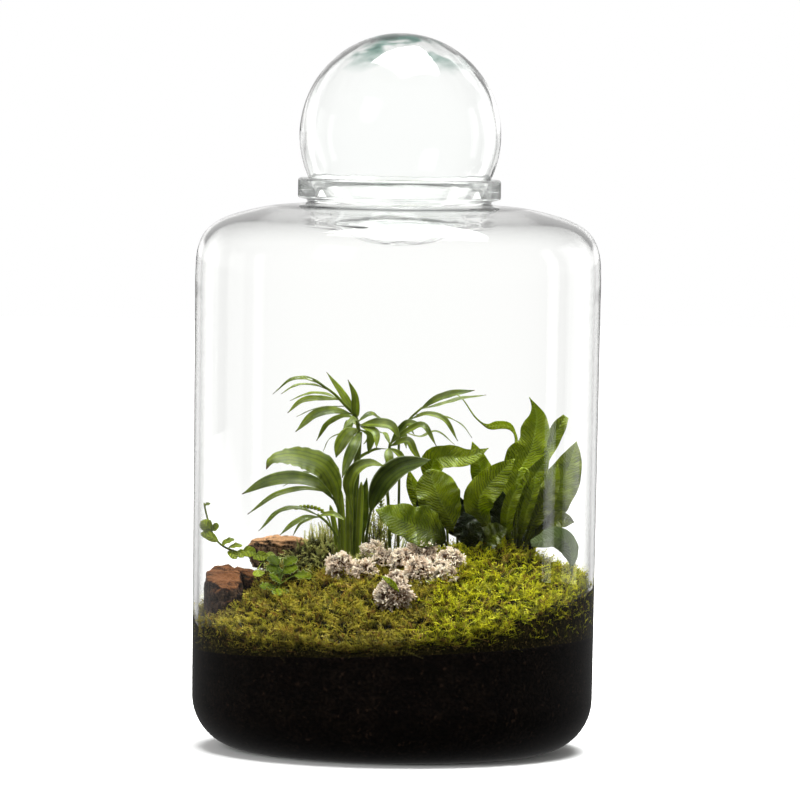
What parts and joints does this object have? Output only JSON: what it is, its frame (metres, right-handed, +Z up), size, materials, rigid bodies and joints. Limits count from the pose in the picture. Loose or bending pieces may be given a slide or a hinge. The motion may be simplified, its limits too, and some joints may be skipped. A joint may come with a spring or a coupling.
{
  "type": "glass plant terrarium",
  "caption": "Round glass jar closed by a blown glass ball, planted with palms, ferns, creepers, moss, lichen and stones on dark soil.",
  "frame": {"origin": "centre of the jar's flat foot, on the surface that it stands on", "axes": "+Z up through the middle of the jar and the ball, -Y towards the front of the planting, +X to its right"},
  "size_m": [0.3, 0.3, 0.5301],
  "materials": {
    "jar_glass": "clear, polished",
    "ball_glass": "clear, polished, faint green tint",
    "soil": "moist, crumbly, near black",
    "moss_bright": "soft, fine strands, yellow-green",
    "moss_olive": "soft, fine strands, olive",
    "moss_pale": "soft, fine strands, grey-green",
    "spike_moss": "matt, feathery",
    "peat": "matt, fibrous, dark",
    "dark_stone": "rough, layered",
    "rust_stone": "rough, rust-brown",
    "lichen": "matt, finely branched",
    "palm_leaf": "smooth, slightly glossy leaf",
    "palm_dark": "smooth, slightly glossy leaf",
    "fern_leaf": "glossy leaf",
    "fern_dark": "glossy leaf",
    "strap_leaf": "glossy leaf",
    "fig_leaf": "thin, satin leaf",
    "ivy_leaf": "satin leaf, pale margins"
  },
  "bodies": {
    "root": {"ball_stopper": "ball_glass", "beaded_sprig": "fig_leaf", "creeping_fig": "fig_leaf", "edge_strap_leaf": "strap_leaf", "fern_left_back_leaf": "fern_leaf", "fern_left_broad_leaf": "fern_leaf", "fern_left_glossy_leaf": "fern_leaf", "fern_left_level_leaf": "fern_leaf", "fern_left_low_leaf": "fern_dark", "fern_left_pale_leaf": "fern_leaf", "fern_left_slender_leaf": "fern_dark", "fern_mid_low_leaf": "fern_leaf", "fern_mid_shade_leaf": "fern_dark", "fern_right_back_leaf": "fern_leaf", "fern_right_curled_leaf": "fern_leaf", "fern_right_dark_leaf": "fern_dark", "fern_right_fiddlehead": "fern_leaf", "fern_right_forked_leaf": "fern_leaf", "fern_right_hood_leaf": "fern_leaf", "fern_right_lobed_leaf": "fern_leaf", "fern_right_low_back_leaf": "fern_dark", "fern_right_outer_leaf": "fern_leaf", "fern_right_ruffled_leaf": "fern_leaf", "fern_right_shade_leaf": "fern_dark", "fern_right_skirt_leaf": "fern_leaf", "fern_right_strap_leaf": "fern_leaf", "fern_right_tailed_leaf": "fern_leaf", "fern_right_tongue_leaf": "fern_leaf", "ivy_sprig": "ivy_leaf", "jar": "jar_glass", "lichen_head_1": "lichen", "lichen_head_10": "lichen", "lichen_head_11": "lichen", "lichen_head_2": "lichen", "lichen_head_3": "lichen", "lichen_head_4": "lichen", "lichen_head_5": "lichen", "lichen_head_6": "lichen", "lichen_head_7": "lichen", "lichen_head_8": "lichen", "lichen_head_9": "lichen", "moss_back_knoll": "moss_pale", "moss_front_left": "moss_olive", "moss_right_mound": "moss_bright", "moss_sprig": "spike_moss", "palm_left_back_frond": "palm_leaf", "palm_left_broad_leaf": "palm_leaf", "palm_left_crown": "palm_leaf", "palm_left_dark_leaf": "palm_dark", "palm_left_long_leaf": "palm_leaf", "palm_left_low_frond": "palm_leaf", "palm_left_side_leaf": "palm_leaf", "palm_left_upright_leaf": "palm_leaf", "palm_right_crown": "palm_leaf", "palm_right_tall_frond": "palm_leaf", "rock_flat": "dark_stone", "rock_standing": "rust_stone", "rock_wedge": "rust_stone", "root_plug": "peat", "soil": "soil"}
  },
  "joints": []
}
